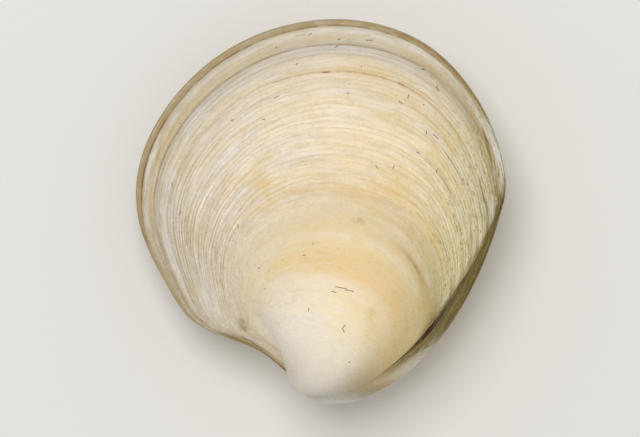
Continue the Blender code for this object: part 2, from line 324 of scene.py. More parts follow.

# Marks on the valves, by pigment and by how crisp their edge is. Each is a path of points as place, age and
# half width in age, in thousandths, and strength in hundredths. "pale" is no pigment but lightens the shell,
# and one pale mark is a painted highlight on the umbo; some marks of other pigments are painted shade.
# MARK_UNITS turns these into plain numbers, and MARK_END is how many half widths out a mark has faded.
MARK_UNITS = (1000.0, 1000.0, 1000.0, 100.0)
MARK_END = 3.0
SOFT = 2
CRISP = 6
RIGHT_SOFT = {
    "chalk": [
        [(460, 12, 2, 0), (500, 12, 3, 50), (580, 11, 3.5, 60), (700, 10, 4, 60), (750, 10, 4, 50),
         (790, 10, 3, 0)],
        [(285, 10, 12, 0), (295, 14, 14, 50), (320, 12, 14, 60), (340, 18, 10, 45), (352, 20, 6, 0)],
        [(276, 30, 20, 0), (290, 32, 24, 40), (305, 34, 22, 65), (335, 34, 16, 60), (365, 44, 10, 25),
         (400, 40, 12, 35), (500, 40, 13, 45), (580, 44, 13, 40), (680, 45, 14, 40), (710, 45, 14, 65),
         (730, 46, 14, 40), (770, 46, 14, 40), (820, 40, 10, 0)],
        [(270, 120, 15, 0), (282, 120, 24, 80), (292, 120, 22, 70), (305, 122, 14, 0)],
        [(420, 100, 10, 0), (500, 104, 10, 15), (660, 112, 16, 30), (740, 125, 20, 40), (800, 130, 20, 50),
         (840, 130, 20, 40), (870, 150, 20, 0)],
        [(700, 145, 3, 0), (730, 148, 5, 60), (760, 147, 5, 40), (780, 145, 3, 0)],
        [(770, 350, 60, 0), (830, 350, 90, 45), (880, 350, 80, 35), (900, 350, 50, 0)],
        [(915, 560, 80, 0), (935, 560, 100, 35), (960, 560, 80, 30), (975, 560, 60, 0)],
        [(310, 640, 10, 0), (350, 640, 12, 40), (440, 636, 12, 30), (500, 635, 10, 0)],
        [(340, 735, 15, 0), (380, 738, 24, 30), (460, 736, 22, 35), (560, 735, 18, 30), (660, 735, 12, 0)],
        [(420, 950, 12, 0), (500, 950, 20, 20), (660, 950, 20, 40), (720, 950, 12, 0)],
    ],
    "ochre": [
        [(360, 60, 5, 0), (420, 64, 5, 25), (600, 62, 5, 25), (710, 66, 5, 30), (750, 66, 6, 35),
         (800, 64, 6, 0)],
        [(540, 76, 3, 0), (620, 78, 4, 25), (710, 78, 4, 40), (750, 77, 4, 35), (780, 76, 3, 0)],
        [(380, 164, 8, 0), (420, 163, 9, 30), (520, 164, 9, 15), (560, 166, 6, 0)],
        [(383, 225, 4, 0), (392, 225, 8, 90), (402, 224, 4, 0)],
        [(815, 240, 20, 0), (835, 240, 30, 35), (850, 240, 20, 0)],
        [(600, 540, 20, 0), (640, 480, 30, 45), (690, 330, 25, 35), (730, 220, 20, 0)],
        [(628, 460, 50, 0), (642, 460, 65, 80), (658, 460, 50, 0)],
        [(435, 490, 40, 0), (460, 490, 50, 45), (490, 490, 40, 0)],
        [(370, 540, 12, 0), (385, 540, 15, 50), (400, 540, 12, 0)],
        [(440, 555, 8, 0), (480, 557, 11, 30), (590, 557, 13, 65), (660, 556, 12, 30), (690, 556, 8, 0)],
        [(520, 700, 15, 0), (570, 705, 30, 50), (620, 705, 25, 30), (670, 700, 15, 0)],
        [(450, 840, 40, 0), (520, 845, 60, 45), (570, 845, 70, 60), (600, 845, 65, 50), (670, 840, 60, 30),
         (720, 840, 40, 0)],
        [(385, 860, 20, 0), (410, 860, 50, 50), (435, 860, 20, 0)],
        [(425, 1020, 30, 0), (450, 1020, 40, 75), (475, 1020, 30, 0)],
        [(625, 1060, 20, 0), (640, 1060, 30, 40), (655, 1060, 20, 0)],
        [(400, 1060, 50, 0), (430, 1100, 120, 40), (470, 1060, 60, 0)],
    ],
    "tan": [
        [(328, 60, 4, 0), (335, 61, 7, 70), (343, 59, 9, 90), (350, 52, 6, 50), (358, 55, 4, 0)],
        [(688, 54, 3, 0), (700, 62, 4, 60), (711, 62, 4, 60), (720, 55, 3, 0)],
        [(330, 70, 6, 0), (390, 73, 5, 50), (480, 78, 4, 35), (600, 82, 4, 15), (700, 83, 4, 10),
         (780, 84, 6, 20), (860, 80, 12, 30), (890, 80, 10, 0)],
        [(360, 340, 6, 0), (385, 340, 8, 50), (420, 340, 8, 45), (450, 340, 5, 0)],
        [(270, 610, 25, 50), (320, 610, 30, 30), (420, 600, 30, 15), (500, 600, 20, 0)],
        [(310, 700, 5, 0), (350, 702, 6, 35), (430, 702, 6, 25), (490, 700, 5, 0)],
        # Darker on the rear of the umbo by the commissure: painted shade
        [(262, 1300, 150, 25), (290, 1300, 150, 30), (315, 1320, 120, 15), (340, 1300, 100, 0)],
    ],
    "grey": [
        [(745, 90, 6, 0), (775, 94, 10, 45), (810, 93, 12, 50), (850, 85, 14, 50), (885, 80, 12, 20)],
        [(380, 98, 2, 0), (460, 100, 2.5, 35), (620, 104, 2.5, 35), (740, 102, 3, 30), (780, 100, 3, 0)],
        [(400, 112, 2, 0), (470, 113, 2.5, 30), (600, 118, 2.5, 35), (740, 118, 3, 30), (770, 120, 3, 0)],
        # Darker on the front flank near the umbo: painted shade
        [(795, 700, 50, 0), (830, 700, 90, 22), (870, 700, 120, 28), (895, 600, 100, 0)],
        [(520, 1950, 350, 0), (600, 1950, 350, 25), (720, 1900, 350, 25), (800, 1900, 300, 0)],
    ],
    "rust": [
        [(286, 39, 3.5, 0), (301, 51, 3.5, 40), (314, 50, 3.5, 40), (324, 46, 3.5, 45), (332, 50, 4, 50),
         (340, 57, 5, 55), (346, 49, 4, 45), (350, 45, 3.5, 0)],
        [(336, 60, 4, 0), (342, 60, 6, 50), (348, 56, 4, 0)],
        [(400, 157, 2, 0), (420, 157, 2.5, 25), (452, 158, 2.5, 30), (530, 160, 2, 0)],
        [(360, 168, 2, 0), (390, 168, 3, 40), (425, 170, 2.8, 45), (452, 168, 3, 70), (458, 167, 5, 130),
         (464, 168, 3, 70), (530, 171, 2.8, 60), (610, 170, 2.5, 35), (700, 166, 4, 40), (740, 165, 5, 40),
         (780, 170, 4, 0)],
        [(240, 660, 110, 90), (270, 650, 100, 90), (280, 650, 90, 50), (295, 650, 70, 0)],
        [(500, 660, 8, 0), (515, 660, 10, 60), (530, 660, 8, 0)],
        [(290, 666, 7, 0), (310, 670, 5.5, 85), (345, 669, 5.5, 90), (380, 674, 5.5, 85), (420, 675, 6, 65),
         (470, 670, 6, 0)],
    ],
    "umber": [
        [(335, 9, 6, 0), (350, 10, 7, 50), (360, 10, 7, 60), (380, 10, 7, 65), (430, 11, 6, 50),
         (480, 12, 5, 0)],
        [(920, 12, 20, 0), (940, 20, 30, 90), (955, 12, 22, 60), (970, 10, 20, 0)],
        [(765, 12, 6, 0), (778, 13, 9, 60), (790, 12, 6, 0)],
        [(360, 23, 3, 0), (400, 24, 3, 60), (500, 23, 3, 60), (580, 26, 3.5, 75), (740, 29, 4.5, 85),
         (790, 22, 4, 0)],
        [(318, 46, 2, 0), (324, 46, 2, 70), (332, 50, 2.2, 80), (340, 57, 2.5, 90), (346, 49, 2, 60),
         (350, 45, 2, 0)],
        [(825, 68, 5, 0), (830, 68, 6, 60), (835, 68, 5, 0)],
        [(240, 40, 60, 60), (272, 50, 70, 90), (285, 70, 60, 65), (295, 85, 30, 40), (305, 90, 20, 0)],
        [(268, 60, 12, 50), (285, 69, 8, 80), (300, 75, 6, 80), (312, 80, 8, 80), (320, 78, 6, 40),
         (326, 60, 4, 50), (337, 63, 3, 70), (348, 56, 3, 0)],
        [(862, 118, 12, 0), (870, 118, 20, 50), (878, 118, 12, 0)],
        [(272, 165, 10, 60), (290, 160, 10, 70), (303, 156, 7, 80), (311, 166, 4, 60), (320, 172, 5, 90),
         (326, 173, 3, 50), (334, 172, 3, 0)],
        [(525, 172.5, 2, 0), (530, 172.5, 2.8, 70), (538, 172.5, 2, 0)],
        [(350, 262, 3, 0), (365, 262, 3.5, 60), (400, 263, 3.5, 50), (425, 262, 3, 35), (440, 262, 2, 0)],
        [(306, 226, 3, 0), (313, 238, 3, 80), (322, 265, 3, 60), (330, 280, 3, 0)],
        [(888, 60, 12, 0), (896, 85, 14, 60), (902, 110, 18, 80), (904.5, 220, 30, 85), (908, 305, 35, 85),
         (912, 290, 30, 85), (921, 190, 25, 80), (929.5, 110, 20, 70), (941, 30, 15, 60), (955, 20, 15, 50),
         (965, 10, 10, 0)],
        [(350, 370, 4, 0), (355, 370, 6, 80), (360, 370, 4, 0)],
        [(258, 460, 100, 35), (272, 460, 120, 30), (283, 460, 100, 0)],
        [(300, 625, 4, 0), (310, 625, 5, 45), (320, 625, 5, 40), (335, 625, 4, 0)],
        [(240, 660, 110, 100), (268, 650, 100, 90), (278, 650, 80, 60), (295, 650, 70, 40),
         (315, 650, 50, 0)],
        [(280, 666, 5, 30), (310, 669, 3.5, 70), (330, 667, 3.5, 70), (360, 673, 3.5, 55),
         (400, 677, 3.5, 40), (430, 673, 4, 30), (520, 668, 4, 15), (600, 660, 3, 0)],
    ],
    "olive": [
        [(312, 78, 6, 0), (322, 72, 7, 80), (333, 68, 6, 90), (342, 66, 4, 0)],
        [(898, 30, 20, 0), (906, 100, 60, 50), (915, 100, 60, 50), (925, 50, 40, 40), (935, 30, 30, 0)],
        [(280, 170, 10, 40), (300, 162, 10, 70), (314, 170, 8, 60), (330, 170, 10, 80), (337, 170, 6, 0)],
        [(296, 205, 6, 0), (304, 205, 10, 70), (313, 210, 8, 60), (322, 210, 6, 0)],
        [(760, 215, 3, 0), (780, 213, 6, 35), (800, 210, 4, 0)],
        [(760, 265, 4, 0), (775, 265, 6, 45), (790, 260, 4, 0)],
        [(270, 275, 15, 70), (290, 300, 12, 60), (312, 295, 10, 50), (335, 285, 5, 0)],
        [(846, 680, 30, 0), (856, 665, 45, 60), (869, 635, 55, 80), (881, 575, 50, 75), (890, 520, 40, 30),
         (896, 480, 30, 0)],
    ],
    "pale": [
        [(460, 300, 160, 0), (520, 280, 180, 40), (570, 280, 190, 95), (640, 280, 180, 90),
         (700, 250, 140, 90), (750, 240, 100, 50), (790, 220, 100, 0)],
        # Painted highlight: a bluish-white lift on the umbo
        [(500, 1300, 300, 0), (570, 1300, 350, 35), (640, 1300, 350, 45), (700, 1250, 300, 35),
         (760, 1200, 300, 0)],
    ],
}
RIGHT_CRISP = {
    "tan": [
        [(335, 12, 6, 0), (352, 12, 8, 60), (380, 15, 9, 90), (500, 13, 10, 85), (580, 14, 12, 70),
         (660, 15, 13, 70), (745, 15, 15, 70), (780, 14, 14, 70), (800, 8, 6, 0)],
    ],
    "grey": [
        [(340, 74, 2.5, 0), (370, 76, 2.8, 55), (480, 83, 3, 85), (580, 87, 3.4, 90), (660, 89, 3.6, 95),
         (740, 88, 4.2, 90), (760, 89, 5, 40), (770, 90, 5, 0)],
    ],
}

LEFT_SOFT = {
    "chalk": [
        [(150, 950, 150, 0), (190, 900, 220, 15), (220, 880, 240, 55), (250, 840, 240, 80),
         (300, 820, 200, 45)],
        [(50, 2000, 600, 60), (250, 2000, 600, 80), (400, 1900, 500, 50), (800, 1900, 500, 30)],
    ],
    "ochre": [
        [(100, 580, 160, 70), (140, 580, 160, 85), (172, 480, 90, 60), (185, 470, 80, 0)],
    ],
    "tan": [
        [(150, 760, 120, 0), (170, 760, 140, 50), (195, 740, 120, 50), (215, 720, 100, 0)],
    ],
    "umber": [
        # Dark brown along the commissure: partly stain, partly painted shade
        [(50, 120, 240, 80), (160, 120, 220, 80), (190, 140, 260, 60), (225, 220, 340, 65),
         (260, 260, 380, 85), (285, 300, 380, 60), (300, 300, 300, 0)],
        # Painted shade on the lower valve near the commissure, behind the umbo
        [(180, 1300, 160, 0), (230, 1200, 200, 25), (250, 1250, 250, 35), (280, 1300, 300, 40),
         (320, 1300, 250, 30), (360, 1300, 150, 0)],
    ],
    "bark": [
        # Dark brown along the commissure: partly dark skin, partly painted shade
        [(245, 100, 250, 0), (262, 200, 380, 35), (275, 250, 420, 50), (300, 300, 380, 40)],
        # Painted shadow in the slit beside the ligament, where the valves gape
        [(150, 270, 120, 90), (170, 260, 120, 95), (175, 280, 100, 60), (181, 300, 80, 0)],
    ],
    "olive": [
        [(205, 300, 300, 0), (235, 330, 330, 35), (270, 330, 330, 40), (310, 330, 330, 20)],
    ],
}
LEFT_CRISP = {
    "chalk": [
        [(160, 685, 8, 0), (190, 690, 12, 50), (250, 680, 14, 110), (290, 670, 12, 30)],
    ],
}

# Along the keel at the rear, chalk takes turns with umber: strength, and the ages of the patches
for pigment, strength, ages in (
    ("chalk", 40, (225, 290, 345, 420, 540)), ("umber", 55, (255, 315, 380, 470, 620)),
):
    for at in ages:
        patch = [(272, at, 12, 0), (282, at, 18, strength), (297, at, 16, 0.6 * strength), (315, at, 12, 0)]
        RIGHT_SOFT[pigment].append(patch)

# How much farther a step of place is than the same step of age, squared, where a fibre's spot is sought
AROUND_WEIGHT = 12.0

# Half the thickness of a fibre
FIBRE_RADIUS = 0.03 * MM

# Dark fibres and crumbs caught on the upper valve: place, age, heading in degrees, millimetres long, bend
FIBRES = [
    (0.530, 0.048, 62, 0.45, 0.1), (0.513, 0.092, 60, 0.50, 0.0), (0.509, 0.069, 40, 0.35, 0.5),
    (0.481, 0.061, 0, 0.75, 0.0), (0.561, 0.064, -50, 0.25, 0.2), (0.552, 0.134, 68, 0.35, 0.1),
    (0.533, 0.173, 0, 0.70, 0.0), (0.583, 0.219, 28, 0.60, 0.1), (0.496, 0.149, 80, 0.20, 0.0),
    (0.416, 0.107, 85, 0.75, 0.6), (0.451, 0.194, 74, 0.60, 0.05), (0.458, 0.224, -50, 0.55, 0.0),
    (0.431, 0.188, 30, 0.18, 0.0), (0.434, 0.086, -8, 0.45, 0.0), (0.430, 0.266, 76, 0.55, 0.0),
    (0.414, 0.250, -38, 0.68, 0.0), (0.438, 0.343, -35, 0.45, 0.2), (0.468, 0.433, 62, 0.45, 0.1),
    (0.491, 0.455, -60, 0.45, 0.0), (0.722, 0.157, -63, 0.45, 0.1), (0.746, 0.226, 45, 0.45, 0.15),
    (0.704, 0.532, -63, 0.50, 0.1), (0.405, 0.342, 78, 0.50, 0.3), (0.635, 0.210, 10, 0.30, 0.0),
    (0.606, 0.270, -20, 0.40, 0.5), (0.670, 0.078, 15, 0.18, 0.0), (0.679, 0.095, 40, 0.20, 0.0),
    (0.513, 0.973, -12, 0.95, 0.1), (0.530, 0.978, -10, 1.20, 0.0), (0.545, 0.985, -14, 0.60, 0.0),
    (0.496, 1.170, 80, 0.80, 0.7), (0.590, 0.775, 70, 0.28, 0.0), (0.605, 0.840, 20, 0.30, 0.0),
    (0.710, 0.790, 45, 0.28, 0.0), (0.720, 0.920, 10, 0.30, 0.0), (0.597, 1.140, 75, 0.35, 0.1),
]

# The floor's half side and roughness, the soft lamp, the height of the valves' edges, and the film's width
FLOOR_REACH = 1.5
CARD_ROUGHNESS = 0.9
LAMP_SIZE = 0.5
LAMP_PLACE = (-0.12, 0.25, 1.0)
EDGE_HEIGHT = 12.0 * MM
FILM_WIDTH = 36.0


def colour(code):
    """Returns a hex sRGB colour as the linear one that Blender works in, with full alpha."""
    parts = [int(code[i : i + 2], 16) / 255.0 for i in (1, 3, 5)]
    linear = [part / 12.92 if part <= 0.04045 else ((part + 0.055) / 1.055) ** 2.4 for part in parts]
    return (*linear, 1.0)


def add_node(tree, kind, inputs=(), stops=None, points=None, **settings):
    """Adds a node with its settings and links, and returns it.

    A kind may bring settings. Inputs come in order, or by name: a node or a socket is linked, and anything
    else is a value. Stops are those of a colour ramp, as place and colour, and points those of a curve.
    """
    kind, always = (kind, {}) if isinstance(kind, str) else kind
    node = tree.nodes.new(kind)
    for name, value in {**always, **settings}.items():
        setattr(node, name, value)
    if stops:
        elements = node.color_ramp.elements
        for element, (place, shade) in zip(elements, (stops[0], stops[-1])):
            element.position = place
            element.color = colour(shade)
        for place, shade in stops[1:-1]:
            elements.new(place).color = colour(shade)
    if points:
        curve = node.mapping.curves[0]
        while len(curve.points) < len(points):
            curve.points.new(0.5, 0.5)
        for dot, place in zip(curve.points, points):
            dot.location = place
            dot.handle_type = "AUTO_CLAMPED"
        node.mapping.update()
    live = [socket for socket in node.inputs if socket.enabled]
    for key, value in (inputs.items() if isinstance(inputs, dict) else enumerate(inputs)):
        socket = live[key] if isinstance(key, int) else next(one for one in live if one.name == key)
        if isinstance(value, bpy.types.Node):
            value = result(value)
        if isinstance(value, bpy.types.NodeSocket):
            tree.links.new(value, socket)
        else:
            socket.default_value = value
    return node


def result(node):
    """Returns the first output socket that a node has in use."""
    return next(one for one in node.outputs if one.enabled)


def drawn_out(tree, place, waves, detail, roughness=0.5):
    """Adds a noise that has this many waves per unit along each direction of a place."""
    spread = add_node(tree, VECTORS, (place, waves), operation="MULTIPLY")
    inputs = {"Vector": spread, "Scale": 1.0, "Detail": detail, "Roughness": roughness}
    return add_node(tree, NOISE, inputs)


def new_tree(name, sockets):
    """Starts a geometry node tree with inputs of these names, by their kind.

    Returns the tree, and its group input's sockets by name.
    """
    tree = bpy.data.node_groups.new(name, "GeometryNodeTree")
    for way in ("INPUT", "OUTPUT"):
        tree.interface.new_socket("Geometry", in_out=way, socket_type="NodeSocketGeometry")
    for kind, labels in {**sockets, "Material": ("Material",)}.items():
        for label in labels:
            tree.interface.new_socket(label, in_out="INPUT", socket_type="NodeSocket" + kind)
    return tree, add_node(tree, "NodeGroupInput").outputs


def numbered_grid(tree, columns, rings):
    """Adds a grid whose rows are rings of points, with one more row before them and one after.

    Returns it with fields by name: a point's column, row and ring, how far it is across and down the grid,
    and whether it is in the first row, in the last one or in either of those, which close the ends.
    """
    add = partial(add_node, tree)
    last_row = add(PLUS, (rings, 1.0))
    size = {"Size X": columns, "Size Y": last_row}
    for label, most in (("Vertices X", columns), ("Vertices Y", last_row)):
        size[label] = add(PLUS, (most, 1.0))
    grid = add("GeometryNodeMeshGrid", size)
    here = add("ShaderNodeSeparateXYZ", (add("GeometryNodeInputPosition"),)).outputs
    at = {}
    for label, share, most, axis in (("column", "across", columns, "X"), ("row", "down", last_row, "Y")):
        number = add(TIMES_PLUS, (most, 0.5, here[axis]))
        grid = add(KEEP, {"Geometry": grid, "Name": label, "Value": number}, **ON_POINTS)
        at[label] = add(RECALL, {"Name": label}, data_type="FLOAT")
        at[share] = add(OVER, (at[label], most))
    before = add(MINUS, (at["row"], 1.0))
    at["ring"] = add("ShaderNodeClamp", (before, 0.0, add(MINUS, (rings, 1.0))))
    at["first"] = add(MATH, (at["row"], 0.5), operation="LESS_THAN")
    at["last"] = add(MATH, (at["row"], add(PLUS, (rings, 0.5))), operation="GREATER_THAN")
    at["closing"] = add(MATH, (at["first"], at["last"]), operation="MAXIMUM")
    return grid, at


def point_at(tree, given, number, step):
    """Adds what looks up where the given point with this number is, or one that is a step away from it."""
    add = partial(add_node, tree)
    whole = add("FunctionNodeFloatToInt", (number,), rounding_mode="ROUND")
    index = add(PLUS, (whole, step))
    inputs = {"Geometry": given["Geometry"], "Value": add("GeometryNodeInputPosition"), "Index": index}
    return add("GeometryNodeSampleIndex", inputs, data_type="FLOAT_VECTOR", domain="POINT", clamp=True)


def closed_up(tree, mesh, across, down):
    """Keeps on a rolled-up grid the flat map where every row is straight, and joins its seam and ends."""
    spot = add_node(tree, XYZ, (across, down, 0.0))
    values = {"Geometry": mesh, "Name": "OFBake", "Value": spot}
    kept = add_node(tree, KEEP, values, data_type="FLOAT2", domain="CORNER")
    return add_node(tree, "GeometryNodeMergeByDistance", {"Geometry": kept, "Distance": SEAM})


def laid_to_rest(tree, given, mesh):
    """Lays a mesh down as the shell lies, smooth shaded, and ends the tree."""
    values = {"Geometry": mesh, "Translation": given["Rest place"], "Rotation": given["Rest turn"]}
    laid = add_node(tree, "GeometryNodeTransform", values)
    shaded = add_node(tree, "GeometryNodeSetShadeSmooth", {"Geometry": laid, "Shade Smooth": True})
    return finish_tree(tree, given, shaded)


def finish_tree(tree, given, geometry):
    """Ends a tree in Realize Instances and Set Material."""
    real = add_node(tree, "GeometryNodeRealizeInstances", (geometry,))
    painted = add_node(tree, "GeometryNodeSetMaterial", {"Geometry": real, "Material": given["Material"]})
    add_node(tree, "NodeGroupOutput", (painted,))
    return tree


def grow(name, points, tree, values):
    """Runs a tree on a row of points, and returns its result as an object with a plain mesh."""
    seed = bpy.data.meshes.new(name + "_seed")
    seed.from_pydata([tuple(point) for point in points], [], [])
    return run_tree(name, seed, tree, values)


def run_tree(name, seed, tree, values):
    """Runs a tree on a mesh of points, and returns its result as an object with a plain mesh."""
    source = bpy.data.objects.new(name + "_seed", seed)
    bpy.context.scene.collection.objects.link(source)
    modifier = source.modifiers.new(name, "NODES")
    modifier.node_group = tree
    for item in tree.interface.items_tree:
        if item.in_out == "INPUT" and item.name in values:
            modifier[item.identifier] = values[item.name]
    return settled(name, source)


def settled(name, source):
    """Returns a new object with the source's finished mesh, and removes the source."""
    bpy.context.view_layer.update()
    graph = bpy.context.evaluated_depsgraph_get()
    mesh = bpy.data.meshes.new_from_object(source.evaluated_get(graph), depsgraph=graph)
    bpy.data.objects.remove(source, do_unlink=True)
    mesh.name = name
    if mesh.materials[0] is None:
        mesh.materials.pop(index=0)
    thing = bpy.data.objects.new(name, mesh)
    bpy.context.scene.collection.objects.link(thing)
    return thing


def cut_away(name, thing, cutters):
    """Returns a new object that is the thing without what the cutters take up, and removes them all."""
    for cutter in cutters:
        hole = thing.modifiers.new(cutter.name, "BOOLEAN")
        hole.operation = "DIFFERENCE"
        hole.solver = "MANIFOLD"
        hole.material_mode = "TRANSFER"
        hole.object = cutter
    thing = settled(name, thing)
    for cutter in cutters:
        bpy.data.objects.remove(cutter, do_unlink=True)
    return thing


def clean_cut(mesh):
    """Presses a valve's lowest points flat on the floor, and removes what a cut leaves.

    That is points in the middle of an edge, and points on top of others.
    """
    for vertex in mesh.vertices:
        vertex.co.z = max(vertex.co.z, 0.0)
    work = bmesh.new()
    work.from_mesh(mesh)
    bmesh.ops.dissolve_verts(work, verts=[vertex for vertex in work.verts if len(vertex.link_edges) == 2])
    bmesh.ops.remove_doubles(work, verts=work.verts, dist=CUT_SEAM)
    work.to_mesh(mesh)
    work.free()


def smooth_path(knots, count):
    """Returns count flat points in metres on the natural cubic spline through knots in millimetres.

    The points are spaced by the root of the distance between knots.
    """
    knots = np.array(knots, dtype=float)
    steps = np.sqrt(np.linalg.norm(np.diff(knots, axis=0), axis=1))
    at = np.concatenate(([0.0], np.cumsum(steps)))
    matrix = np.eye(len(knots))
    right = np.zeros_like(knots)
    for i in range(1, len(knots) - 1):
        matrix[i, i - 1 : i + 2] = steps[i - 1], 2.0 * (steps[i - 1] + steps[i]), steps[i]
        slope_after = (knots[i + 1] - knots[i]) / steps[i]
        slope_before = (knots[i] - knots[i - 1]) / steps[i - 1]
        right[i] = 6.0 * (slope_after - slope_before)
    bend = np.linalg.solve(matrix, right)
    wanted = np.linspace(0.0, at[-1], count)
    span = np.clip(np.searchsorted(at, wanted, side="right") - 1, 0, len(steps) - 1)
    step = steps[span][:, None]
    before = (wanted - at[span])[:, None]
    after = step - before
    cubic = (bend[span] * after**3 + bend[span + 1] * before**3) / (6.0 * step)
    start = (knots[span] / step - bend[span] * step / 6.0) * after
    end = (knots[span + 1] / step - bend[span + 1] * step / 6.0) * before
    return np.column_stack([(cubic + start + end) * MM, np.zeros(count)])


def margin_outline(columns):
    """Returns today's margin in metres, as the points between this many faces, from the beak to the beak."""
    knots = [BEAK] + HINGE_LINE + REAR_SLOPE + REAR_CORNER + LOWER_MARGIN + FRONT_MARGIN + LUNULE + [BEAK]
    return smooth_path(knots, columns + 1)


class ClamGrowth(bpy.types.PropertyGroup):
    """How former margins lie, and how the shell lies on the floor."""

    hinge_slope: FloatProperty(
        name="Hinge slope", description="Direction of the hinge line from the shell's X axis",
        default=math.radians(16.8), subtype="ANGLE",
    )
    tip_per_age: FloatProperty(
        name="Tip per age", description="How far a margin tips up for each unit of age",
        default=math.radians(47.6), subtype="ANGLE",
    )
    tip_early: FloatProperty(
        name="Early tip", description="More tipping, spread over the shell's whole life",
        default=math.radians(9.5), subtype="ANGLE",
    )
    tip_limit: FloatProperty(
        name="Tip limit", description="The furthest that a margin tips up",
        default=math.radians(165.0), subtype="ANGLE",
    )
    turn_per_age: FloatProperty(
        name="Turn per age", description="How far a margin turns towards the rear for each unit of age",
        default=math.radians(23.6), subtype="ANGLE",
    )
    turn_early: FloatProperty(
        name="Early turn", description="More turning, spread over the shell's whole life",
        default=math.radians(10.8), subtype="ANGLE",
    )
    gap: FloatProperty(
        name="Valve gap", description="Distance between the closed valves",
        default=0.3 * MM, unit="LENGTH", precision=5,
    )
    rest_turn: FloatVectorProperty(
        name="Rest turn", description="Turns that lay the shell on its left valve",
        default=(math.radians(-9.0), math.radians(-10.4), 0.0), subtype="EULER",
    )
    rest_place: FloatVectorProperty(
        name="Rest place", description="Where the beaks are when the shell lies on the floor",
        default=(-1.4425 * MM, -17.9552 * MM, 13.3627 * MM), subtype="TRANSLATION", precision=6,
    )
    columns: IntProperty(name="Columns", description="Faces along a margin", default=224, min=8)
    rows: IntProperty(name="Rows", description="Margins from today's to the oldest", default=400, min=8)


class ClamSculpture(bpy.types.PropertyGroup):
    """Ridges and furrows on the outside of a valve."""

    ridge_pitch: FloatProperty(
        name="Ridge pitch", description="Age from one ridge to the next on most of the valve",
        default=0.0182,
    )
    late_pitch: FloatProperty(
        name="Late ridge pitch", description="Age from one ridge to the next near the margin",
        default=0.0155,
    )
    ridge_depth: FloatProperty(
        name="Ridge depth", description="Depth of the grooves between ridges",
        default=0.075 * MM, unit="LENGTH", precision=6,
    )
    swell_depth: FloatProperty(
        name="Swell depth", description="Height of the broad swells that follow the growth lines",
        default=0.06 * MM, unit="LENGTH", precision=6,
    )
    rough_depth: FloatProperty(
        name="Rear roughness", description="Height of the crumbly surface towards the rear",
        default=0.05 * MM, unit="LENGTH", precision=6,
    )
    inset: FloatProperty(
        name="Inset", description="How far the crests lie inside the solid of the part",
        default=0.05 * MM, unit="LENGTH", precision=6,
    )


class ClamColours(bpy.types.PropertyGroup):
    """Pigments of the shell and what lies on it, some of which also paint shade and shadow."""

    __annotations__ = {
        key: FloatVectorProperty(
            name=key.title(), description=about, default=colour(code)[:3], size=3, subtype="COLOR",
        )
        for key, (code, about, *_) in (PIGMENTS | {"groove": SILT_AND_SHADE}).items()
    }


class ClamStudio(bpy.types.PropertyGroup):
    """Floor, lamps and camera."""

    floor_colour: FloatVectorProperty(
        name="Floor", description="Colour of the floor and backdrop",
        default=colour("#E6E4DF")[:3], size=3, subtype="COLOR",
    )
    camera_height: FloatProperty(
        name="Camera height", description="Height of the camera above the floor", default=0.9, unit="LENGTH",
    )
    view_width: FloatProperty(
        name="View width", description="Width that the camera sees at the height of the valves' edges",
        default=70.4 * MM, unit="LENGTH", precision=4,
    )
    view_centre: FloatVectorProperty(
        name="View centre", description="Point on the floor under the camera",
        default=(0.0, -0.83 * MM), size=2, unit="LENGTH", precision=5,
    )
    key_power: FloatProperty(
        name="Key lamp", description="Power of the soft lamp overhead", default=5.6, unit="POWER",
    )
    fill_level: FloatProperty(
        name="Fill light", description="Strength of the even light all round", default=0.5,
    )


